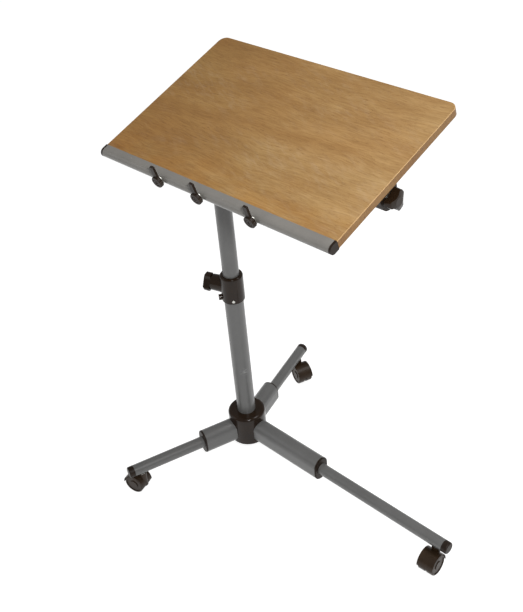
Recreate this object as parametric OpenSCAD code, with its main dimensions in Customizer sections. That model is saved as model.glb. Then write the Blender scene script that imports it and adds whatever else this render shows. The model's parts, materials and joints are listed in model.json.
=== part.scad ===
/* [Board] */
// Width of the board, left to right
board_w = 600; // [500:10:760]
// Depth of the board, front to back
board_d = 380; // [320:10:460]
// Thickness of the board
board_t = 18; // [15:1:22]
// Radius of the two back corners
board_corner = 18; // [6:1:40]
// Distance from the mast to the middle of the board
board_reach = 166; // [90:1:200]

/* [Tilt] */
// Slope of the board in the set position, in degrees
tilt_angle = 16.2; // [0:0.1:40]
// Height of the tilt axis above the floor in the set position
axis_height = 899; // [860:1:930]
// Distance from the board's underside down to the tilt axis
axis_drop = 44; // [40:1:60]
// Distance from the board's front edge back to the tilt axis
axis_setback = 173; // [140:1:200]

/* [Front rail] */
// Wall of the folded rail
rail_wall = 1.5; // [1:0.1:2]
// Grip of the rail over the board's edge
rail_grip = 7; // [5:0.5:12]
// Distance from the board's edge to the centre of the round nose
rail_nose = 4.5; // [3:0.5:8]
// Thickness of the rail's end caps
rail_cap_t = 5; // [3:0.5:8]

/* [Stops] */
// Place of the left stop, from the board's middle
stop_left_x = -124; // [-160:1:-90]
// Place of the middle stop, from the board's middle
stop_middle_x = -17; // [-40:1:20]
// Place of the right stop, from the board's middle
stop_right_x = 120; // [90:1:160]
// Reach of a stop's finger from its screw
stop_reach = 38.5; // [30:0.5:55]
// Radius of a stop's lobed head
stop_head_r = 13; // [10:0.5:16]

/* [Mast] */
// Outer diameter of the upper tube
upper_d = 38; // [34:1:40]
// Length of the upper tube
upper_len = 488; // [440:1:520]
// Length of the lower tube
lower_len = 447; // [400:1:480]
// Wall of the mast and leg tubes
tube_wall = 1.5; // [1.2:0.1:2]

/* [Clamp] */
// Height of the clamp collar
collar_h = 68; // [60:1:90]
// Wall of the clamp collar
collar_wall = 4.4; // [3.5:0.1:7]
// Direction of the clamp knob round the mast, in degrees
clamp_angle = 198; // [180:1:260]
// Radius of the collar's side boss at its root
clamp_boss_r = 21; // [16:0.5:24]

/* [Knobs] */
// Radius of the knobs over their lobes
knob_r = 24; // [21:0.5:27]
// Length of a knob's lobed grip
knob_grip = 15; // [12:1:24]

/* [Base] */
// Diameter of the hub
hub_d = 92; // [84:1:110]
// Height of the hub
hub_h = 82; // [74:1:100]
// Diameter of the leg tubes
leg_d = 28; // [24:1:30]
// Width of the flat-oval leg sleeves
sleeve_w = 43; // [38:1:50]
// Height of the flat-oval leg sleeves
sleeve_h = 61; // [54:1:66]
// Length from the mast to the end of the long leg
leg_long = 606; // [500:1:700]
// Length from the mast to the end of the left leg
leg_left = 327; // [280:1:380]
// Length from the mast to the end of the rear leg
leg_rear = 317; // [280:1:380]
// Length of the long leg's sleeve beyond the hub
sleeve_long = 194; // [140:1:250]
// Length of each short leg's sleeve beyond the hub
sleeve_short = 77; // [66:1:110]
// Direction of the long leg from square under the board, in degrees
base_turn = -1.2; // [-20:0.1:20]
// Angle from the long leg to the left leg, in degrees
spread_left = 108.6; // [100:0.1:125]
// Angle from the long leg to the rear leg, in degrees
spread_rear = 105.8; // [100:0.1:125]

/* [Casters] */
// Radius of the caster wheels
wheel_r = 25; // [20:1:30]
// Width of one wheel
wheel_w = 16; // [14:1:20]
// Height from the top of the wheels to the underside of the leg tube
caster_neck = 11; // [9:1:20]
// Distance from a caster's stem back to its axle
caster_trail = 19; // [17:1:22]
// Direction in which the left caster trails, in degrees
yaw_left = 194; // [0:1:360]
// Direction in which the rear caster trails, in degrees
yaw_rear = 338; // [0:1:360]
// Direction in which the long leg's caster trails, in degrees
yaw_long = 272; // [0:1:360]

/* [Hidden] */
$fn = 72;

// clearances, each side
seat = 0.3;
slip = 0.1;
running = 0.05;
cut = 1;

black = [0.17, 0.13, 0.10];
gloss_black = [0.13, 0.10, 0.08];
grey_paint = [0.43, 0.42, 0.39];
rail_grey = [0.52, 0.51, 0.50];
plated = [0.78, 0.78, 0.76];
light_wood = [0.66, 0.49, 0.31];

// base heights
caster_h = 2 * wheel_r + caster_neck;
leg_z = caster_h + leg_d / 2;
hub_z0 = leg_z - sleeve_h / 2 - 0.5;
hub_floor = 5;
cover_t = hub_floor - 2;
hub_wall = 4;
hub_fillet = 8;
hub_r = hub_d / 2;
spigot_len = 22;
spigot_wall = 4;
plug_len = 35;
plug_flange = 4;
leg_insert = 55;
leg_cap_len = 14;
stem_inset = 34;
cap_insert = stem_inset;
spigot_screw_s = hub_r + 12;
leg_screw_back = 17;
long_leg = base_turn;
rear_leg = base_turn + spread_rear;
left_leg = base_turn - spread_left;
long_sleeve_end = hub_r + sleeve_long;
short_sleeve_end = hub_r + sleeve_short;

// mast heights
upper_r = upper_d / 2;
tube_play = 2;
lower_r = upper_r + tube_play + tube_wall;
lower_z0 = hub_z0 + hub_floor;
lower_z1 = lower_z0 + lower_len;
upper_z1 = axis_height - 16;
upper_z0 = upper_z1 - upper_len;
collar_grip = 24;
collar_lip = 2.5;
lip_gap = 0.6;
collar_z0 = lower_z1 - collar_grip;
collar_z1 = collar_z0 + collar_h;
collar_r = lower_r + collar_wall;
clamp_z = collar_z0 + collar_h / 2;
clamp_boss_tip_r = clamp_boss_r - 2;
clamp_boss_end = collar_r + 22;
clamp_neck = 1.5;
tilt_neck = 1.5;
rivet_r = 2.4;
rivet_z = collar_z0 + 7.5;
rivet_angle = 315;
lug_angle = 232;
lug_z = collar_z0 + 7.5;
lug_r = 7;
lug_end = collar_r + 7;
stud_r = 4;

// mast head
cross_r = 12.5;
head_r = upper_r + 5;
head_drop = 74;
head_half = head_r + 14;
head_sleeve_r = 18;
head_bolt_z = axis_height - 58;
head_screw_x = head_half - 11;

// tilt brackets, in the board's frame
bracket_inset = 22;
bracket_w = 20;
bracket_cheek = 6;
bracket_r = 24;
bracket_x1 = board_w / 2 - bracket_inset;
bracket_x0 = bracket_x1 - bracket_w;
flange_t = 5;
flange_x = 44;
flange_v = 84;
cross_half = bracket_x1 - bracket_cheek - seat;
washer_t = 1.2;
axis_n = -board_t - axis_drop;

edge_break = 1;

// rail section, in the board's frame
tongue_relief = 0.3;
rail_mid = -board_t / 2;
rail_out = board_t / 2 - tongue_relief + rail_wall;
rail_in = rail_out - rail_wall;
rail_front = rail_nose + rail_out;
rail_half = board_w / 2 - rail_cap_t;
rail_screw_xs = [45 - rail_half, -70, 50, rail_half - 45];
rail_screw_r = 1.5;
stop_screw_r = 2.5;
stop_screw_head_r = 7;
stop_recess = 3;
stop_seat = rail_front + seat + washer_t + seat;
stop_finger_t = 5;
stop_finger_w = 10;
stop_head_t = 8;
screw_r = 2;

// caster
hood_gap = 0.9;
hood_t = 1.7;
hood_in = wheel_r + hood_gap;
hood_out = hood_in + hood_t;
wheel_gap = 3.4;
caster_half = wheel_gap + wheel_w;
caster_axle_r = 4;
stem_r = 5;
stem_z0 = wheel_r + sqrt(pow(hood_out, 2) - pow(caster_trail - stem_r, 2)) + 0.5;
stem_flange = 1.6;
hood_top = caster_h - stem_flange - seat;

// the object stands centred over the origin, between its leftmost piece and the long leg's end
left_caster_reach = hood_out + caster_trail - (leg_left - stem_inset) * cos(left_leg);
mast_x = (max(left_caster_reach, board_w / 2 - board_reach) - leg_long) / 2;

// ---------- helpers ----------

// everything on the base and the mast hangs on this frame
module on_mast() {
    translate([mast_x, 0, 0]) children();
}

// a leg's frame: X runs out along the leg, on its centre line
module on_leg(angle) {
    on_mast() rotate([0, 0, angle]) translate([0, 0, leg_z]) children();
}

// the board's frame: origin at the middle of its top front edge, Y to the back, Z off its face
module on_board() {
    on_mast() translate([board_reach, 0, axis_height]) rotate([tilt_angle, 0, 0])
        translate([0, -axis_setback, -axis_n]) children();
}

// a caster's frame: origin on the floor under the stem, X towards the axle
module on_caster(angle, leg, yaw) {
    on_mast() rotate([0, 0, angle]) translate([leg - stem_inset, 0, 0])
        rotate([0, 0, yaw - angle]) children();
}

// the clamp screw's frame: X runs out from the mast's axis
module on_clamp() {
    on_mast() translate([0, 0, clamp_z]) rotate([0, 0, clamp_angle]) children();
}

// a stop's frame: Z runs forward along its screw, Y up off the board's face
module on_stop(x) {
    on_board() translate([x, 0, rail_mid]) rotate([90, 0, 0]) children();
}

// sweeps an outline drawn as (Y, Z) along X
module along_x(len) {
    rotate([90, 0, 90]) linear_extrude(height = len) children();
}

module rod_x(r, x0, x1) {
    translate([x0, 0, 0]) rotate([0, 90, 0]) cylinder(r = r, h = x1 - x0);
}

module stadium(w, h) {
    square([w, h - w], center = true);
    for (s = [-1, 1]) translate([0, s * (h - w) / 2]) circle(d = w);
}

// half section of a rod with a rounded rim, drawn as (radius, height)
module rounded_half(r, h, f) {
    square([r, h - f]);
    square([r - f, h]);
    translate([r - f, h - f]) circle(r = f);
}

// screw along Z, its head below the origin with a cross recess
module pan_screw(r, len, head_r, head_h) {
    slot_w = head_r * 0.25;
    cylinder(r = r, h = len);
    rotate([180, 0, 0]) difference() {
        rotate_extrude() rounded_half(head_r, head_h, head_h / 2);
        for (a = [0, 90]) rotate([0, 0, a]) translate([-head_r * 0.55, -slot_w / 2, head_h * 0.5])
            cube([head_r * 1.1, slot_w, head_h]);
    }
}

// three-lobed outline with hollow flanks
module lobed_outline(r) {
    lobe = r / 3;
    lobe_at = r - lobe;
    flank_at = r * 1.56;
    flank = sqrt(pow(lobe_at, 2) + pow(flank_at, 2) - lobe_at * flank_at) - lobe;
    difference() {
        union() {
            circle(r = r * 0.76);
            for (a = [0:120:240]) rotate(a) translate([lobe_at, 0]) circle(r = lobe);
        }
        for (a = [60:120:300]) rotate(a) translate([flank_at, 0]) circle(r = flank);
    }
}

// a clamping knob along X, from the back of its neck to its domed front
module lobed_knob(neck, turn) {
    crown = 3;
    difference() {
        union() {
            rod_x(knob_r * 0.5, 0, neck + 0.5);
            translate([neck, 0, 0]) intersection() {
                rotate([turn, 0, 0]) along_x(knob_grip + crown) lobed_outline(knob_r);
                rotate([0, 90, 0]) rotate_extrude() knob_half(crown);
            }
        }
        rod_x(stud_r + running, -cut, neck + knob_grip - 3);
    }
}

// half section of a knob, drawn as (radius, height)
module knob_half(crown) {
    polygon([[0, 0], [knob_r - 1, 0], [knob_r, 1], [knob_r - 1, knob_grip - 1.5],
        [knob_r - 3, knob_grip + 0.5], [knob_r * 0.4, knob_grip + crown], [0, knob_grip + crown]]);
}

// ---------- base ----------

module hub() {
    color(gloss_black) on_mast() difference() {
        union() {
            translate([0, 0, hub_z0]) rotate_extrude() rounded_half(hub_r, hub_h, hub_fillet);
            for (a = [long_leg, left_leg, rear_leg]) rotate([0, 0, a])
                translate([hub_r - 3, 0, leg_z]) spigot();
        }
        translate([0, 0, lower_z0]) cylinder(r = lower_r + slip, h = hub_h);
        hub_cavity();
        for (a = [long_leg, left_leg, rear_leg]) rotate([0, 0, a])
            translate([spigot_screw_s, 0, leg_z - sleeve_h / 2]) cylinder(r = screw_r + slip, h = 12);
    }
}

// hollow nose that fills a sleeve's inner end
module spigot() {
    inset = tube_wall + slip;
    difference() {
        along_x(spigot_len + 3) sleeve_section(inset);
        translate([3 + spigot_wall, 0, 0]) along_x(spigot_len) sleeve_section(inset + spigot_wall);
    }
}

// a sleeve's outline, drawn inset by the given distance
module sleeve_section(inset) {
    stadium(sleeve_w - 2 * inset, sleeve_h - 2 * inset);
}

// hollow underside with six ribs, and a seat for the cover
module hub_cavity() {
    socket_r = lower_r + hub_wall;
    top = hub_z0 + hub_h - hub_wall - 2;
    difference() {
        translate([0, 0, lower_z0]) cylinder(r = hub_r - hub_wall, h = top - lower_z0);
        translate([0, 0, hub_z0]) cylinder(r = socket_r, h = hub_h);
        for (a = [30:60:330]) rotate([0, 0, a]) translate([0, -1.5, hub_z0]) cube([hub_r, 3, hub_h]);
    }
    translate([0, 0, hub_z0 - cut]) cylinder(r = hub_r - hub_wall, h = cover_t + seat + cut);
    cover_screw_places() cylinder(r = screw_r + slip, h = 16);
}

module cover_screw_places() {
    for (a = [90:120:330]) rotate([0, 0, a]) translate([hub_r - 9, 0, hub_z0]) children();
}

module hub_cover() {
    color(black) on_mast() difference() {
        translate([0, 0, hub_z0]) cylinder(r = hub_r - hub_wall - seat, h = cover_t);
        cover_screw_places() translate([0, 0, -cut]) cylinder(r = screw_r + slip, h = 16);
    }
}

module base_screws() {
    color(plated) {
        on_mast() cover_screw_places() pan_screw(screw_r, 12, 4, 2);
        for (l = [[long_leg, long_sleeve_end], [left_leg, short_sleeve_end], [rear_leg, short_sleeve_end]])
            on_leg(l[0])
                for (s = [[spigot_screw_s, 10], [l[1] - leg_screw_back, (sleeve_h - leg_d) / 2 + 4]])
                    translate([s[0], 0, -sleeve_h / 2]) pan_screw(screw_r, s[1], 4, 2);
    }
}

module sleeve(angle, end) {
    color(grey_paint) on_leg(angle) difference() {
        translate([hub_r * 0.8, 0, 0]) along_x(end - hub_r * 0.8) difference() {
            sleeve_section(0);
            sleeve_section(tube_wall);
        }
        translate([0, 0, -sleeve_h]) cylinder(r = hub_r + seat, h = 2 * sleeve_h);
        for (s = [spigot_screw_s, end - leg_screw_back])
            translate([s, 0, -sleeve_h / 2 - cut]) cylinder(r = screw_r + slip, h = 8);
    }
}

module plug(angle, end) {
    color(black) on_leg(angle) difference() {
        union() {
            translate([end - plug_len, 0, 0]) along_x(plug_len + 1) sleeve_section(tube_wall + slip);
            translate([end + slip, 0, 0]) along_x(plug_flange - 1.5) sleeve_section(0);
            translate([end + slip, 0, 0]) along_x(plug_flange) sleeve_section(1.5);
        }
        rod_x(leg_d / 2 + running, end - plug_len - cut, end + plug_flange + cut);
        translate([end - leg_screw_back, 0, -sleeve_h / 2]) cylinder(r = screw_r + slip, h = sleeve_h / 2);
    }
}

module leg(angle, sleeve_end, end) {
    start = max(sleeve_end - leg_insert, hub_r + spigot_len + 1);
    color(grey_paint) on_leg(angle) difference() {
        rod_x(leg_d / 2, start, end - leg_cap_len);
        rod_x(leg_d / 2 - tube_wall, start - cut, end);
        translate([end - stem_inset, 0, -leg_d]) cylinder(r = stem_r + 1, h = leg_d);
        translate([sleeve_end - leg_screw_back, 0, -leg_d]) cylinder(r = screw_r + slip, h = leg_d);
    }
}

// end cap with a long insert that holds the caster's stem
module leg_cap(angle, end) {
    insert_r = leg_d / 2 - tube_wall - slip;
    color(black) on_leg(angle) difference() {
        union() {
            rod_x(insert_r, end - leg_cap_len - cap_insert, end - leg_cap_len + 1);
            translate([end - leg_cap_len + slip, 0, 0]) rotate([0, 90, 0]) rotate_extrude()
                rounded_half(leg_d / 2, leg_cap_len - slip, 3.5);
        }
        translate([end - stem_inset, 0, -leg_d]) cylinder(r = stem_r + running, h = leg_d + 9);
    }
}

// ---------- casters ----------

module caster_stem(angle, leg, yaw) {
    color(plated) on_caster(angle, leg, yaw) {
        translate([0, 0, stem_z0]) cylinder(r = stem_r, h = leg_z + 8 - stem_z0);
        translate([0, 0, caster_h - stem_flange]) cylinder(r = 8.5, h = stem_flange);
    }
}

module caster_hood(angle, leg, yaw) {
    boss_r = 9.5;
    web = wheel_gap - 0.6;
    color(black) on_caster(angle, leg, yaw) difference() {
        union() {
            translate([caster_trail, 0, wheel_r]) rotate([90, 0, 0]) {
                linear_extrude(height = 2 * caster_half + 1, center = true) hood_arc();
                linear_extrude(height = 2 * web, center = true) circle(r = wheel_r - 3);
            }
            difference() {
                translate([0, 0, wheel_r - 6]) cylinder(r = boss_r, h = hood_top - wheel_r + 6);
                for (s = [-1, 1]) translate([caster_trail, s * (web + caster_half), wheel_r])
                    rotate([90, 0, 0]) cylinder(r = hood_in, h = 2 * caster_half, center = true);
            }
        }
        translate([0, 0, stem_z0 - seat]) cylinder(r = stem_r + running, h = caster_h);
        translate([caster_trail, 0, wheel_r]) rotate([90, 0, 0])
            cylinder(r = caster_axle_r + running, h = caster_h, center = true);
    }
}

// side view of the hood's shell over the wheels, with rounded ends
module hood_arc() {
    back_end = 4;
    front_end = 184;
    far = 2 * hood_out;
    intersection() {
        difference() {
            circle(r = hood_out);
            circle(r = hood_in);
        }
        polygon([[0, 0], [far, far * tan(back_end)], [far, far], [-far, far], [-far, -far * tan(front_end)]]);
    }
    for (a = [back_end, front_end]) rotate(a) translate([hood_in + hood_t / 2, 0])
        circle(r = hood_t * 0.47);
}

module caster_axle(angle, leg, yaw) {
    color(plated) on_caster(angle, leg, yaw) translate([caster_trail, 0, wheel_r]) rotate([90, 0, 0])
        cylinder(r = caster_axle_r, h = 2 * caster_half - 9, center = true);
}

// one wheel: round-edged tread, dished outer face with a raised cap
module wheel(angle, leg, yaw, side) {
    color(black) on_caster(angle, leg, yaw) translate([caster_trail, side * wheel_gap, wheel_r])
        rotate([-side * 90, 0, 0]) difference() {
            rotate_extrude() difference() {
                rounded_half(wheel_r, wheel_w, 3);
                translate([wheel_r * 0.42, wheel_w - 1.6]) square([wheel_r * 0.42, 3]);
            }
            translate([0, 0, -cut]) cylinder(r = caster_axle_r + running, h = wheel_w - 3);
        }
}

// ---------- mast ----------

module lower_tube() {
    color(grey_paint) on_mast() difference() {
        translate([0, 0, lower_z0]) cylinder(r = lower_r, h = lower_len);
        translate([0, 0, lower_z0 - cut]) cylinder(r = lower_r - tube_wall, h = lower_len + 2 * cut);
        rivet_holes();
    }
}

module rivet_holes() {
    for (a = [0, 180]) rotate([0, 0, rivet_angle + a]) translate([0, 0, rivet_z])
        rod_x(rivet_r + slip, upper_r - 4, collar_r + 5);
}

module clamp_collar() {
    color(gloss_black) on_mast() difference() {
        union() {
            translate([0, 0, collar_z0]) rotate_extrude() rounded_half(collar_r, collar_h, 5);
            translate([0, 0, clamp_z]) rotate([0, 0, clamp_angle]) rotate([0, 90, 0])
                cylinder(r1 = clamp_boss_r, r2 = clamp_boss_tip_r, h = clamp_boss_end);
            translate([0, 0, lug_z]) rotate([0, 0, lug_angle]) rod_x(lug_r, lower_r, lug_end);
        }
        translate([0, 0, collar_z0 - cut]) cylinder(r = lower_r + slip, h = collar_h - collar_lip + cut);
        translate([0, 0, collar_z0]) cylinder(r = upper_r + lip_gap, h = collar_h + cut);
        translate([0, 0, clamp_z]) rotate([0, 0, clamp_angle])
            rod_x(stud_r + running, lower_r - 3, clamp_boss_end + cut);
        translate([0, 0, lug_z]) rotate([0, 0, lug_angle]) rod_x(lug_r - 3, lug_end - 3, lug_end + cut);
        rivet_holes();
    }
}

module clamp_bush() {
    bush_h = collar_h - collar_grip - collar_lip - 2 * seat;
    color(black) on_mast() translate([0, 0, lower_z1 + seat]) difference() {
        cylinder(r = lower_r, h = bush_h);
        translate([0, 0, -cut]) cylinder(r = upper_r + running, h = bush_h + 2 * cut);
    }
}

module collar_rivets() {
    color(plated) on_mast() for (a = [0, 180]) rotate([0, 0, rivet_angle + a]) translate([0, 0, rivet_z]) {
        rod_x(rivet_r, upper_r + 1.4, collar_r + 0.8);
        translate([collar_r, 0, 0]) rotate([0, 90, 0]) rotate_extrude() rounded_half(rivet_r + 1, 1.6, 0.8);
    }
}

module clamp_knob() {
    color(gloss_black) on_clamp() translate([clamp_boss_end + seat, 0, 0]) lobed_knob(clamp_neck, 90);
}

module clamp_screw() {
    color(plated) on_clamp() rod_x(stud_r, lower_r + 0.4, clamp_boss_end + clamp_neck + knob_grip - 4);
}

// the ring that guides the upper tube inside the lower one
module glide_ring() {
    color(black) on_mast() translate([0, 0, upper_z0 - 16.7]) difference() {
        cylinder(r = lower_r - tube_wall - running, h = 12.4);
        translate([0, 0, -cut]) cylinder(r = 14 + slip, h = 15);
    }
}

module glide_plug() {
    color(black) on_mast() translate([0, 0, upper_z0]) {
        translate([0, 0, -21]) cylinder(r = upper_r - 0.5, h = 4);
        translate([0, 0, -18]) cylinder(r = 14, h = 15);
        translate([0, 0, -4]) cylinder(r = upper_r - slip, h = 4);
        cylinder(r = upper_r - tube_wall - slip, h = 20);
    }
}

module upper_tube() {
    color(grey_paint) on_mast() difference() {
        translate([0, 0, upper_z0]) cylinder(r = upper_r, h = upper_len);
        translate([0, 0, upper_z0 - cut]) cylinder(r = upper_r - tube_wall, h = upper_len + 2 * cut);
        head_bolt_hole();
    }
}

module head_bolt_hole() {
    translate([0, 0, head_bolt_z]) rotate([90, 0, 0])
        cylinder(r = 3 + running, h = 4 * head_r, center = true);
}

// tee fitting: upright socket for the mast, level sleeve for the cross tube, a rib under each side
module mast_head() {
    color(black) on_mast() difference() {
        union() {
            translate([0, 0, axis_height - head_drop]) rotate_extrude()
                rounded_half(head_r, head_drop + 6, 10);
            translate([0, 0, axis_height]) rod_x(head_sleeve_r, -head_half, head_half);
            translate([0, 3, axis_height]) rotate([90, 0, 0]) linear_extrude(height = 6)
                polygon([[-head_half + 3, 0], [head_half - 3, 0], [head_half - 3, -head_sleeve_r],
                    [head_r - 2, 14 - head_drop], [2 - head_r, 14 - head_drop],
                    [3 - head_half, -head_sleeve_r]]);
        }
        translate([0, 0, upper_z1 + seat - 2 * head_drop]) cylinder(r = upper_r + running, h = 2 * head_drop);
        translate([0, 0, axis_height]) rod_x(cross_r + running, -head_half - cut, head_half + cut);
        head_bolt_hole();
        for (s = [-1, 1]) translate([s * head_screw_x, 0, axis_height])
            cylinder(r = screw_r + slip, h = 30);
    }
}

module head_bolts() {
    color(plated) on_mast() {
        translate([0, 0, head_bolt_z]) rotate([90, 0, 0]) {
            cylinder(r = 3, h = 2 * head_r + 6, center = true);
            translate([0, 0, head_r + slip]) cylinder(r = 5.5, h = 4, $fn = 6);
            translate([0, 0, -head_r - slip - 4]) cylinder(r = 5.5, h = 4, $fn = 6);
        }
        for (s = [-1, 1]) translate([s * head_screw_x, 0, axis_height + head_sleeve_r]) rotate([180, 0, 0])
            pan_screw(screw_r, head_sleeve_r - cross_r + 3, 4, 2);
    }
}

module cross_tube() {
    color(grey_paint) on_mast() translate([board_reach, 0, axis_height]) difference() {
        rod_x(cross_r, -cross_half, cross_half);
        rod_x(cross_r - tube_wall, -cross_half - cut, cross_half + cut);
        for (s = [-1, 1]) translate([s * head_screw_x - board_reach, 0, 0])
            cylinder(r = screw_r + slip, h = 30);
    }
}

module tilt_plug() {
    color(black) on_mast() translate([board_reach, 0, axis_height]) difference() {
        rod_x(cross_r - tube_wall - slip, cross_half - 22, cross_half);
        rod_x(stud_r + running, cross_half - 23, cross_half + cut);
    }
}

module tilt_stud() {
    color(plated) on_mast() translate([board_reach, 0, axis_height])
        rod_x(stud_r, cross_half - 20, bracket_x1 + washer_t + 2 * seat + tilt_neck + knob_grip - 4);
}

module tilt_washer() {
    color(plated) on_mast() translate([board_reach, 0, axis_height]) difference() {
        rod_x(13, bracket_x1 + seat, bracket_x1 + seat + washer_t);
        rod_x(stud_r + running, bracket_x1, bracket_x1 + 3);
    }
}

module tilt_knob() {
    color(gloss_black) on_mast() translate([board_reach + bracket_x1 + washer_t + 2 * seat, 0, axis_height])
        rotate([tilt_angle, 0, 0]) lobed_knob(tilt_neck, -80);
}

// ---------- board ----------

// moulded bracket: barrel on the cross tube, pocketed web, flange screwed to the board
module bracket(side) {
    x0 = side > 0 ? bracket_x0 : -bracket_x1;
    bore_x = side > 0 ? bracket_x0 - cut : -bracket_x1 + bracket_cheek;
    color(black) on_board() translate([0, axis_setback, 0]) difference() {
        union() {
            translate([x0, 0, axis_n]) along_x(bracket_w) circle(r = bracket_r);
            translate([x0, 0, 0]) along_x(bracket_w) bracket_web(0);
            translate([side * (bracket_x1 - flange_x / 2), 0, -board_t - flange_t / 2])
                cube([flange_x, flange_v, flange_t], center = true);
        }
        for (s = [-1, 1]) translate([x0 + bracket_w / 2 + s * 4 + (s > 0 ? 0 : -bracket_w), 0, 0])
            along_x(bracket_w) bracket_web(4);
        translate([bore_x, 0, axis_n]) rotate([0, 90, 0])
            cylinder(r = cross_r + running, h = bracket_w - bracket_cheek + cut);
        if (side > 0) translate([bracket_x1 - bracket_w, 0, axis_n]) rod_x(stud_r + seat, 0, bracket_w + cut);
        bracket_screw_places(side) translate([0, 0, -cut])
            cylinder(r = screw_r + slip, h = flange_t + 2 * cut);
    }
}

// outline of the bracket's web between flange and barrel; inset draws the pocket inside it
module bracket_web(inset) {
    top = -board_t - flange_t + (inset > 0 ? -inset : 1);
    bottom = axis_n + (inset > 0 ? bracket_r + 1.5 : 0);
    half_top = flange_v / 2 - 12.5 - 1.2 * inset;
    half_bottom = bracket_r - (inset > 0 ? 2 : 0);
    polygon([[-half_top, top], [half_top, top], [half_bottom, bottom], [-half_bottom, bottom]]);
}

module bracket_screw_places(side) {
    for (v = [-1, 1], x = [8, flange_x - 8])
        translate([side * (bracket_x1 - x), v * (flange_v / 2 - 7), -board_t - flange_t]) children();
}

module bracket_screws() {
    color(plated) on_board() translate([0, axis_setback, 0]) for (side = [-1, 1])
        bracket_screw_places(side) pan_screw(screw_r, flange_t + 10, 4, 2);
}

module board() {
    color(light_wood) on_board() difference() {
        translate([0, 0, -board_t]) linear_extrude(height = board_t) board_outline();
        for (z = [-board_t - cut, -tongue_relief]) translate([-board_w, -cut, z])
            cube([2 * board_w, rail_grip + seat + cut, tongue_relief + cut]);
        for (s = [-1, 1]) translate([s * (rail_half + board_w / 2 - seat), 0, 0])
            cube([board_w, 2 * (rail_grip + seat), 3 * board_t], center = true);
        translate([0, axis_setback, 0]) for (side = [-1, 1]) bracket_screw_places(side)
            cylinder(r = screw_r + slip, h = flange_t + 11);
        for (x = rail_screw_xs) translate([x, rail_grip / 2, -board_t - cut])
            cylinder(r = rail_screw_r + slip, h = 9);
        for (x = [stop_left_x, stop_middle_x, stop_right_x]) translate([x, 0, rail_mid]) rotate([90, 0, 0])
            cylinder(r = stop_screw_r + slip, h = 33, center = true);
        board_edge_cuts();
    }
}

// breaks the board's two long side edges, its back edges and the round corners, above and below
module board_edge_cuts() {
    half = board_w / 2;
    for (up = [0, 1]) translate([0, 0, up ? 0 : -board_t]) mirror([0, 0, up ? 0 : 1]) {
        for (s = [0, 1]) mirror([s, 0, 0]) {
            translate([half, 0, 0]) rotate([90, 0, 180])
                linear_extrude(height = board_d - board_corner) mirror([1, 0]) edge_wedge();
            translate([half - board_corner, board_d - board_corner, 0])
                rotate_extrude(angle = 90) translate([board_corner, 0]) edge_wedge();
        }
        translate([board_corner - half, board_d, 0]) rotate([90, 0, 90])
            linear_extrude(height = board_w - 2 * board_corner) edge_wedge();
    }
}

// triangle cut off an edge at the origin, drawn as (outward, up)
module edge_wedge() {
    polygon([[-edge_break, cut], [-edge_break, 0], [0, -edge_break], [cut, -edge_break], [cut, cut]]);
}

module board_outline() {
    half = board_w / 2;
    translate([-half, 0]) square([board_w, board_d - board_corner]);
    translate([-half + board_corner, 0]) square([board_w - 2 * board_corner, board_d]);
    for (s = [-1, 1]) translate([s * (half - board_corner), board_d - board_corner]) circle(r = board_corner);
}

// outline of the rail's section, drawn as (Y, Z); r is the radius of its nose
module rail_section(r, back) {
    translate([-rail_nose, rail_mid]) circle(r = r);
    translate([-rail_nose, rail_mid - r]) square([rail_nose + back, 2 * r]);
}

module front_rail() {
    color(rail_grey) on_board() difference() {
        translate([-rail_half, 0, 0]) along_x(2 * rail_half) difference() {
            rail_section(rail_out, rail_grip);
            rail_section(rail_in, rail_grip + cut);
        }
        for (x = rail_screw_xs) translate([x, rail_grip / 2, -board_t - 5])
            cylinder(r = rail_screw_r + slip, h = 8);
        for (x = [stop_left_x, stop_middle_x, stop_right_x]) translate([x, 0, rail_mid]) rotate([90, 0, 0])
            cylinder(r = stop_screw_r + slip, h = 30);
    }
}

// end cap: flange with the rail's own section, and a plug inside the hollow nose
module rail_cap(side) {
    color(black) on_board() {
        translate([side > 0 ? rail_half + slip : -board_w / 2, 0, 0]) along_x(rail_cap_t - slip)
            rail_section(rail_out, rail_grip);
        translate([side > 0 ? rail_half - 14 : -rail_half - slip, 0, 0]) along_x(14 + slip)
            intersection() {
                rail_section(rail_in - slip, 0);
                translate([-30, rail_mid - 20]) square([30 - seat, 40]);
            }
    }
}

module rail_screws() {
    color(plated) on_board() for (x = rail_screw_xs) translate([x, rail_grip / 2, rail_mid - rail_out])
        pan_screw(rail_screw_r, 9, 2.8, 1.4);
}

// ---------- stops ----------

// swivelling stop: lobed head and a flat finger that stands over the board's edge
module stop(x) {
    half = stop_finger_w / 2;
    corner = 1.5;
    flute_r = 3.4;
    color(black) on_stop(x) difference() {
        union() {
            translate([0, 0, stop_seat]) rotate_extrude() rounded_half(stop_head_r, stop_head_t, 2);
            translate([0, 0, stop_seat]) linear_extrude(height = stop_finger_t) {
                translate([-half, 0]) square([2 * half, stop_reach - corner]);
                translate([corner - half, 0]) square([2 * (half - corner), stop_reach]);
                for (s = [-1, 1]) translate([s * (half - corner), stop_reach - corner]) circle(r = corner);
            }
        }
        translate([0, 0, stop_seat - cut]) cylinder(r = stop_screw_r + running, h = stop_head_t + 2 * cut);
        translate([0, 0, stop_seat + stop_head_t - stop_recess])
            cylinder(r = stop_screw_head_r + 0.8, h = stop_recess + cut);
        for (a = [202.5:45:517]) if (abs(sin(a / 2 - 45)) > 0.45) rotate([0, 0, a])
            translate([stop_head_r + flute_r * 0.6, 0, stop_seat - cut])
                cylinder(r = flute_r, h = stop_head_t + 2 * cut);
    }
}

module stop_screws() {
    color(black) for (x = [stop_left_x, stop_middle_x, stop_right_x]) on_stop(x)
        translate([0, 0, stop_seat + stop_head_t - stop_recess + seat]) rotate([180, 0, 0])
            pan_screw(stop_screw_r, stop_seat + stop_head_t + 8, stop_screw_head_r, stop_recess - 0.5);
}

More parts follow.
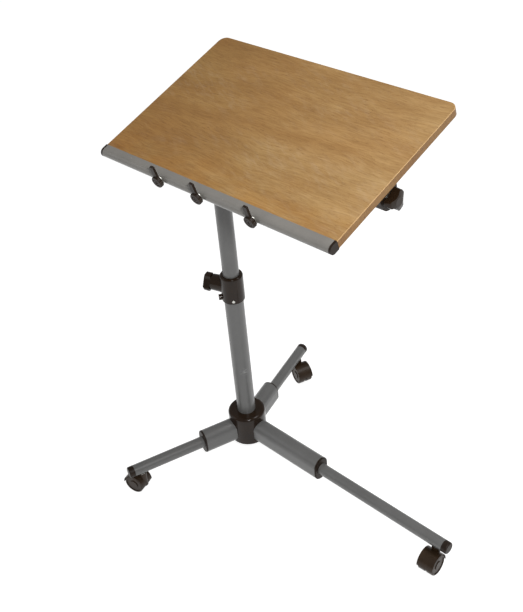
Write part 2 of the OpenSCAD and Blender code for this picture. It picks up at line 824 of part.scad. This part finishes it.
module stop_washers() {
    color(plated) for (x = [stop_left_x, stop_middle_x, stop_right_x]) on_stop(x)
        translate([0, 0, rail_front + seat]) difference() {
            cylinder(r = stop_head_r - 1, h = washer_t);
            translate([0, 0, -cut]) cylinder(r = stop_screw_r + slip, h = 4);
        }
}

// ---------- the nodes ----------

hub();
hub_cover();
base_screws();
sleeve(long_leg, long_sleeve_end);  // sleeve_long
sleeve(left_leg, short_sleeve_end);  // sleeve_left
sleeve(rear_leg, short_sleeve_end);  // sleeve_rear
plug(long_leg, long_sleeve_end);  // plug_long
plug(left_leg, short_sleeve_end);  // plug_left
plug(rear_leg, short_sleeve_end);  // plug_rear
leg(long_leg, long_sleeve_end, leg_long);
leg(left_leg, short_sleeve_end, leg_left);
leg(rear_leg, short_sleeve_end, leg_rear);
leg_cap(long_leg, leg_long);  // leg_cap_long
leg_cap(left_leg, leg_left);  // leg_cap_left
leg_cap(rear_leg, leg_rear);  // leg_cap_rear
caster_stem(long_leg, leg_long, yaw_long);  // caster_stem_long
caster_stem(left_leg, leg_left, yaw_left);  // caster_stem_left
caster_stem(rear_leg, leg_rear, yaw_rear);  // caster_stem_rear
caster_hood(long_leg, leg_long, yaw_long);  // caster_hood_long
caster_hood(left_leg, leg_left, yaw_left);  // caster_hood_left
caster_hood(rear_leg, leg_rear, yaw_rear);  // caster_hood_rear
caster_axle(long_leg, leg_long, yaw_long);  // caster_axle_long
caster_axle(left_leg, leg_left, yaw_left);  // caster_axle_left
caster_axle(rear_leg, leg_rear, yaw_rear);  // caster_axle_rear
wheel(long_leg, leg_long, yaw_long, 1);  // wheel_long_a
wheel(long_leg, leg_long, yaw_long, -1);  // wheel_long_b
wheel(left_leg, leg_left, yaw_left, 1);  // wheel_left_a
wheel(left_leg, leg_left, yaw_left, -1);  // wheel_left_b
wheel(rear_leg, leg_rear, yaw_rear, 1);  // wheel_rear_a
wheel(rear_leg, leg_rear, yaw_rear, -1);  // wheel_rear_b
lower_tube();
clamp_collar();
clamp_bush();
collar_rivets();
clamp_knob();
clamp_screw();
glide_ring();
glide_plug();
upper_tube();
mast_head();
head_bolts();
cross_tube();
tilt_plug();
tilt_stud();
tilt_washer();
tilt_knob();
bracket(-1);  // bracket_left
bracket(1);  // bracket_right
bracket_screws();
board();
front_rail();
rail_cap(-1);  // rail_cap_left
rail_cap(1);  // rail_cap_right
rail_screws();
stop(stop_left_x);  // stop_left
stop(stop_middle_x);  // stop_middle
stop(stop_right_x);  // stop_right
stop_screws();
stop_washers();
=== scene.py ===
import json
import math

import bmesh
import bpy
from mathutils import Matrix, Vector


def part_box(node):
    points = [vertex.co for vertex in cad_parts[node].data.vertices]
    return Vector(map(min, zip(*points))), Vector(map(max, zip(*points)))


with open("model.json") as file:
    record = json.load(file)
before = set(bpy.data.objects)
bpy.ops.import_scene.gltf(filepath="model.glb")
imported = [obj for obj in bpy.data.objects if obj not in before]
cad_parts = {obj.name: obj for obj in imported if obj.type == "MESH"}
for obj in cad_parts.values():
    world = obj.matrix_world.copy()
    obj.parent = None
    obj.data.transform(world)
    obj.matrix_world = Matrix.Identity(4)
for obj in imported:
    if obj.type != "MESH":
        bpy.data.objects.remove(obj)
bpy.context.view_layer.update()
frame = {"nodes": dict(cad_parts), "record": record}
scene = bpy.context.scene
record = frame["record"]

# from the frame, in metres and radians: the tilt axis, the board's slope, and its middle and half width
tilt_joint = next(joint for joint in record["behaviour"]["joints"] if joint["name"] == "top_tilt")
worktop = next(mount for mount in record["mounts"] if mount["name"] == "worktop")
board_low, board_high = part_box("board")
MAST_X, _, AXIS_Z = tilt_joint["pos_m"]
TILT = math.atan2(-worktop["axis"][1], worktop["axis"][2])
BOARD_X = (board_low[0] + board_high[0]) / 2
BOARD_HALF = (board_high[0] - board_low[0]) / 2

# ---------- camera ----------

# fitted to the edges of the photographed object, in pixels, metres and degrees
IMAGE_W, IMAGE_H = 523, 612
FOCAL_PX = 1015.15
PRINCIPAL = (228.78, 255.53)
CAMERA_AT = Vector((MAST_X + 1.38070, -1.26038, 1.87876))
AZIMUTH, ELEVATION, ROLL = 47.6085, 34.5810, -6.6278
SENSOR_MM = 36


def make_camera():
    a, e, r = (math.radians(v) for v in (AZIMUTH, ELEVATION, ROLL))
    back = Vector((math.sin(a) * math.cos(e), -math.cos(a) * math.cos(e), math.sin(e)))
    level = (-back).cross(Vector((0, 0, 1))).normalized()
    up = level.cross(-back)
    right = math.cos(r) * level + math.sin(r) * up
    top = -math.sin(r) * level + math.cos(r) * up
    data = bpy.data.cameras.new("camera")
    data.sensor_width = SENSOR_MM
    data.lens = FOCAL_PX / IMAGE_H * SENSOR_MM
    data.shift_x = (IMAGE_W / 2 - PRINCIPAL[0]) / IMAGE_H
    data.shift_y = (PRINCIPAL[1] - IMAGE_H / 2) / IMAGE_H
    data.clip_start, data.clip_end = 0.05, 50
    camera = bpy.data.objects.new("camera", data)
    scene.collection.objects.link(camera)
    turn = Matrix((right, top, back)).transposed().to_4x4()
    camera.matrix_world = Matrix.Translation(CAMERA_AT) @ turn
    scene.camera = camera


make_camera()

# ---------- colours and node helpers ----------

BLACK, WHITE = (0, 0, 0, 1), (1, 1, 1, 1)


def srgb(r, g, b):
    """Screen values from 0 to 255 as a linear colour."""
    scaled = (c / 255 for c in (r, g, b))
    return tuple(((c + 0.055) / 1.055) ** 2.4 if c > 0.04 else c / 12.92 for c in scaled) + (1,)


def shade(colour, factor):
    return tuple(min(1, c * factor) for c in colour[:3]) + (1,)


def opaque(colour):
    """Three numbers as a colour with alpha 1, and anything else as it is."""
    return (*colour, 1) if isinstance(colour, tuple) and len(colour) == 3 else colour


class Nodes:
    """Short way to write the node tree of a material or of the world."""

    def __init__(self, owner, output):
        self.owner = owner
        owner.use_nodes = True
        self.tree = owner.node_tree
        self.tree.nodes.clear()
        self.out = self.add(output)

    def add(self, kind, inputs=None, **props):
        """A node whose inputs take plain values, or sockets and nodes (by their first output) to link."""
        node = self.tree.nodes.new("ShaderNode" + kind)
        for name, value in props.items():
            setattr(node, name, value)
        for key, value in (inputs or {}).items():
            if isinstance(value, bpy.types.Node):
                value = value.outputs[0]
            if isinstance(value, bpy.types.NodeSocket):
                self.tree.links.new(value, node.inputs[key])
            else:
                node.inputs[key].default_value = value
        return node

    def finish(self, surface):
        self.tree.links.new(surface.outputs[0], self.out.inputs["Surface"])
        return self.owner

    def shader(self, **inputs):
        named = {name.replace("_", " "): value for name, value in inputs.items()}
        return self.finish(self.add("BsdfPrincipled", named))

    def ramp(self, value, stops):
        node = self.add("ValToRGB", {"Fac": value})
        points = node.color_ramp.elements
        while len(points) < len(stops):
            points.new(0.5)
        for point, (at, colour) in zip(points, stops):
            point.position = at
            point.color = opaque(colour)
        return node

    def mask(self, value, black_at, full_at, full=1.0):
        """Grey that goes from black to a full level as a value goes from one place to another."""
        return self.ramp(value, sorted([(black_at, BLACK), (full_at, shade(WHITE, full))]))

    def mix(self, kind, amount, a, b):
        inputs = {"Fac": amount, "Color1": opaque(a), "Color2": opaque(b)}
        return self.add("MixRGB", inputs, blend_type=kind)

    def tint(self, colour, amount, value, stops):
        """A colour multiplied by the tints that a ramp gives over a value."""
        return self.mix("MULTIPLY", amount, colour, self.ramp(value, stops))

    def noise(self, vector, scale, detail, rough):
        """Noise whose scale is about its cells to a metre."""
        inputs = {"Vector": vector, "Scale": scale, "Detail": detail, "Roughness": rough}
        return self.add("TexNoise", inputs).outputs["Fac"]

    def stretched(self, vector, scales, detail, rough, turn=0.0):
        """Noise with its own scale along each axis, turned about Z by an angle in degrees."""
        turned = self.add("Mapping", {"Vector": vector, "Rotation": (0, 0, math.radians(turn))})
        scaled = self.add("Mapping", {"Vector": turned, "Scale": scales})
        return self.noise(scaled, 1.0, detail, rough)

    def span(self, value, low, high):
        """A value between 0 and 1 spread over another range."""
        return self.add("MapRange", {"Value": value, "To Min": low, "To Max": high})

    def reach(self, value, start, end):
        """0 to 1 as a value goes from start to end."""
        return self.add("MapRange", {"Value": value, "From Min": start, "From Max": end})

    def bump(self, height, strength, distance):
        return self.add("Bump", {"Height": height, "Strength": strength, "Distance": distance})

    def rays(self, *kinds):
        """1 for rays of the named kinds and 0 for others."""
        path = self.add("LightPath")
        found = path.outputs[kinds[0]]
        for kind in kinds[1:]:
            found = self.add("Math", {0: found, 1: path.outputs[kind]}, operation="MAXIMUM")
        return found


def material(name):
    return Nodes(bpy.data.materials.new(name), "OutputMaterial")


# ---------- paint, plastic and plating ----------


def paint(name, colour, rough=0.36, painted_glints=()):
    """Powder coat: orange peel, faint mottling, dust, a few nicks, and pale streaky painted highlights
    (glints) at given places.
    """
    n = material(name)
    at = n.add("TexCoord").outputs["Object"]
    base = srgb(*colour)
    mottle = n.noise(at, 16, 5, 0.6)
    col = n.ramp(mottle, [(0.32, shade(base, 0.93)), (0.68, shade(base, 1.07))])
    dust = n.mask(n.noise(at, 260, 3, 0.7), 0.60, 0.80, 0.35)
    col = n.mix("MIX", dust, col, shade(base, 1.5))
    nick = n.mask(n.noise(at, 75, 5, 0.62), 0.735, 0.75, 0.7)
    col = n.mix("MIX", nick, col, shade(base, 2.2))
    # each given place gets a painted highlight: a pale streaky glint that stands in for a reflection
    for place, size in painted_glints:
        away = n.add("VectorMath", {0: at, 1: place}, operation="DISTANCE").outputs["Value"]
        line = n.mask(n.stretched(at, (70, 70, 900), 3, 0.6), 0.52, 0.64)
        painted_highlight = n.add("Math", {0: n.reach(away, size, 0), 1: line}, operation="MULTIPLY", use_clamp=True)
        col = n.mix("MIX", painted_highlight, col, shade(base, 3.2))
    peel = n.noise(at, 950, 2, 0.5)
    return n.shader(Base_Color=col, Roughness=n.span(mottle, rough - 0.06, rough + 0.08),
                    Coat_Weight=0.25, Coat_Roughness=0.22, Normal=n.bump(peel, 0.10, 0.0004))


def plastic(name, colour, rough, grain, haze, level):
    """Moulded plastic: fine grain, uneven sheen, a little handling haze."""
    n = material(name)
    at = n.add("TexCoord").outputs["Object"]
    base = srgb(*colour)
    soft = n.noise(at, 34, 4, 0.55)
    col = n.ramp(soft, [(0.34, shade(base, 0.85)), (0.72, shade(base, 1.25))])
    handled = n.mask(n.noise(at, 220, 4, 0.7), 0.56, 0.80, haze)
    col = n.mix("MIX", handled, col, shade(base, 3.0))
    fine = n.noise(at, 1500, 3, 0.6)
    return n.shader(Base_Color=col, Roughness=n.span(soft, rough - 0.06, rough + 0.10),
                    Specular_IOR_Level=level, Normal=n.bump(fine, grain, 0.0003))


def metal(name, colour, rough):
    """Zinc plating: fine crystalline changes of tone and sheen."""
    n = material(name)
    at = n.add("TexCoord").outputs["Object"]
    base = srgb(*colour)
    fine = n.noise(at, 800, 3, 0.6)
    cloud = n.noise(at, 120, 3, 0.6)
    col = n.ramp(fine, [(0.3, shade(base, 0.82)), (0.7, base)])
    col = n.tint(col, 0.5, cloud, [(0.3, (0.86, 0.84, 0.78)), (0.7, WHITE)])
    return n.shader(Base_Color=col, Roughness=n.span(fine, rough - 0.05, rough + 0.10), Metallic=1.0,
                    Normal=n.bump(fine, 0.06, 0.0002))


# ---------- wood laminate ----------

OAK = ((0.28, (153, 116, 68)), (0.45, (162, 126, 77)), (0.58, (169, 134, 85)), (0.74, (179, 146, 99)))
# colour of the painted highlight on the board's rounded arris
OAK_ARRIS_HIGHLIGHT = (186, 150, 102)
# where the print starts to get warmer towards the front edge and where it is warmest, from the tilt axis
WARM_FROM, WARM_TO = -0.06, -0.17
FLECK_TURN = 22


def board_frame(n, vector, origin=(0, 0, 0)):
    """Places or directions turned to the board's own: X along its width, Y to the back, Z off its face."""
    moved = n.add("VectorMath", {0: vector, 1: origin}, operation="SUBTRACT")
    return n.add("VectorRotate", {"Vector": moved, "Angle": -TILT}, rotation_type="X_AXIS")


def oak_tone(n, at, bent):
    """Soft bands along the width, painted shade darkening the left and painted glare paling the right,
    with warm clouds and a warmer front.
    """
    col = n.ramp(n.stretched(bent, (4.2, 24, 3), 6, 0.64), [(place, srgb(*tone)) for place, tone in OAK])
    on_board = n.add("SeparateXYZ", {0: at}).outputs
    # painted light: darker and richer to the left, paler and bluer to the right, standing in for light
    # falloff and glare across the board
    painted_falloff = n.reach(on_board["X"], -BOARD_HALF, BOARD_HALF)
    col = n.tint(col, 1.0, painted_falloff, [(0, (0.81, 0.73, 0.54)), (1, (1.0, 1.02, 1.08))])
    cloud = n.stretched(at, (3.1, 5.2, 1), 4, 0.6)
    col = n.tint(col, 0.8, cloud, [(0.35, (1.0, 0.94, 0.84)), (0.65, (0.97, 1.0, 1.0))])
    mottle = n.stretched(at, (13, 24, 1), 5, 0.62)
    col = n.tint(col, 0.5, mottle, [(0.36, (0.93, 0.91, 0.86)), (0.64, (1.04, 1.04, 1.05))])
    front = n.reach(on_board["Y"], WARM_FROM, WARM_TO)
    warm = n.mix("MULTIPLY", 1.0, front, n.mask(mottle, 0.62, 0.40))
    return n.mix("MULTIPLY", warm, col, (1.03, 0.93, 0.72))


def oak_flecks(n, col, at):
    """Short pale rays aslant to the grain, in patches."""
    fleck = n.mask(n.stretched(at, (34, 120, 40), 4, 0.6, FLECK_TURN), 0.46, 0.66)
    patch = n.mask(n.stretched(at, (4, 9, 1), 3, 0.6), 0.42, 0.62, 0.6)
    return n.mix("SCREEN", n.mix("MULTIPLY", 1.0, fleck, patch), col, (0.07, 0.065, 0.055))


def board_edges(n, col, place):
    """Darker, chipped sides, and a pale painted highlight along the line where they meet the faces."""
    lift = board_frame(n, place.outputs["Normal"])
    up = n.add("Math", {0: n.add("SeparateXYZ", {0: lift}).outputs["Z"]}, operation="ABSOLUTE")
    chip = n.noise(place.outputs["Object"], 95, 4, 0.6)
    side = n.mix("MULTIPLY", 1.0, col, (0.75, 0.62, 0.38))
    side = n.tint(side, 1.0, chip, [(0.70, WHITE), (0.74, (0.42, 0.34, 0.26))])
    col = n.mix("MIX", n.mask(up, 0.55, 0.30), col, side)
    # painted highlight: a pale line on the rounded arris between the sides and the faces
    painted_highlight = n.ramp(up, [(0.50, BLACK), (0.64, WHITE), (0.80, WHITE), (0.93, BLACK)])
    return n.mix("MIX", painted_highlight, col, srgb(*OAK_ARRIS_HIGHLIGHT))


def laminate(name):
    """Oak print with fine dashes and pores along the board's width, and its edges."""
    n = material(name)
    place = n.add("TexCoord")
    at = board_frame(n, place.outputs["Object"], (BOARD_X, 0, AXIS_Z))
    wave = n.span(n.stretched(at, (3.0, 9.0, 1), 3, 0.55), -0.03, 0.03)
    bent = n.add("VectorMath", {0: at, 1: n.add("CombineXYZ", {"Y": wave})}, operation="ADD")
    dash = n.stretched(bent, (30, 340, 60), 5, 0.68)
    pore = n.stretched(bent, (75, 800, 200), 2, 0.6)
    col = oak_tone(n, at, bent)
    col = n.tint(col, 1.0, dash, [(0.34, (0.80, 0.75, 0.68)), (0.60, (1.02, 1.02, 1.02))])
    col = n.tint(col, 0.7, pore, [(0.30, (0.60, 0.50, 0.40)), (0.40, WHITE)])
    col = board_edges(n, oak_flecks(n, col, at), place)
    return n.shader(Base_Color=col, Roughness=n.span(dash, 0.50, 0.36), Normal=n.bump(pore, 0.08, 0.0002))


# ---------- what each node is made of ----------

GREY = (102, 102, 101)
# the small painted highlight (a glint) on the lower tube, above the hub
GLINT_AT, GLINT_SIZE = (MAST_X + 0.020, -0.012, 0.262), 0.014

SLOTS = {
    "wood_laminate": laminate("wood_laminate"),
    "grey_paint": paint("grey_powder_coat", GREY),
    "rail_grey": paint("rail_grey_powder_coat", (121, 118, 113), rough=0.30),
    "black_moulded": plastic("black_moulded", (36, 26, 18), rough=0.42, grain=0.22, haze=0.08, level=0.22),
    "black_gloss": plastic("black_gloss", (39, 27, 17), rough=0.14, grain=0.03, haze=0.04, level=0.24),
    "caster_black": plastic("caster_black", (48, 35, 23), rough=0.36, grain=0.12, haze=0.10, level=0.25),
    "plated_steel": metal("plated_steel", (205, 205, 200), rough=0.28),
}
# the lower tube's coat carries that painted glint
OWN = {"lower_tube": paint("grey_powder_coat_painted_glint", GREY, painted_glints=[(GLINT_AT, GLINT_SIZE)])}

for part in record["subparts"]:
    materials = frame["nodes"][part["node"]].data.materials
    materials.clear()
    materials.append(OWN.get(part["node"], SLOTS[part["material_slot"]]))

# ---------- stage ----------

FLOOR_HALF, FLOOR_DROP = 20, 0.0005
FLOOR_TONE, FLOOR_GLOW = (0.48, 0.48, 0.48, 1), 0.84
SKY_LIGHT, SKY_SEEN = 0.33, 1.0

# name, place, target, diameter in metres and watts: a key by the camera, a wide fill and a light above
LAMPS = (
    ("key", (1.22, -1.05, 1.95), (-0.1, 0, 0.6), 0.2, 23),
    ("fill", (-2.2, -2.0, 1.8), (-0.1, 0, 0.5), 2.0, 7),
    ("overhead", (0.8, 0.6, 2.6), (-0.05, 0, 0.5), 1.2, 22),
)


def floor_material():
    """Pale floor that keeps its shadow, and reads as white to the camera and in reflections."""
    n = material("floor")
    lit = n.add("BsdfDiffuse", {"Color": FLOOR_TONE})
    seen = n.rays("Is Camera Ray", "Is Glossy Ray", "Is Transmission Ray")
    glow = n.add("Math", {0: seen, 1: FLOOR_GLOW}, operation="MULTIPLY")
    white = n.add("Emission", {"Color": WHITE, "Strength": glow})
    return n.finish(n.add("AddShader", {0: lit, 1: white}))


def make_floor():
    mesh = bpy.data.meshes.new("floor")
    grid = bmesh.new()
    bmesh.ops.create_grid(grid, x_segments=2, y_segments=2, size=FLOOR_HALF)
    grid.to_mesh(mesh)
    grid.free()
    floor = bpy.data.objects.new("floor", mesh)
    scene.collection.objects.link(floor)
    floor.location.z = -FLOOR_DROP
    mesh.materials.append(floor_material())


def make_world():
    """Even grey light that the camera sees as white."""
    n = Nodes(bpy.data.worlds.new("world"), "OutputWorld")
    light = n.add("Background", {"Color": WHITE, "Strength": SKY_LIGHT})
    white = n.add("Background", {"Color": WHITE, "Strength": SKY_SEEN})
    seen = n.rays("Is Camera Ray", "Is Transmission Ray")
    scene.world = n.finish(n.add("MixShader", {0: seen, 1: light, 2: white}))


def make_lamp(name, at, to, size, watts):
    data = bpy.data.lights.new(name, "AREA")
    data.shape = "DISK"
    data.size = size
    data.energy = watts
    lamp = bpy.data.objects.new(name, data)
    scene.collection.objects.link(lamp)
    lamp.location = at
    lamp.rotation_mode = "QUATERNION"
    lamp.rotation_quaternion = (Vector(to) - Vector(at)).to_track_quat("-Z", "Y")


make_floor()
make_world()
for lamp_values in LAMPS:
    make_lamp(*lamp_values)

scene.view_settings.view_transform = "Standard"
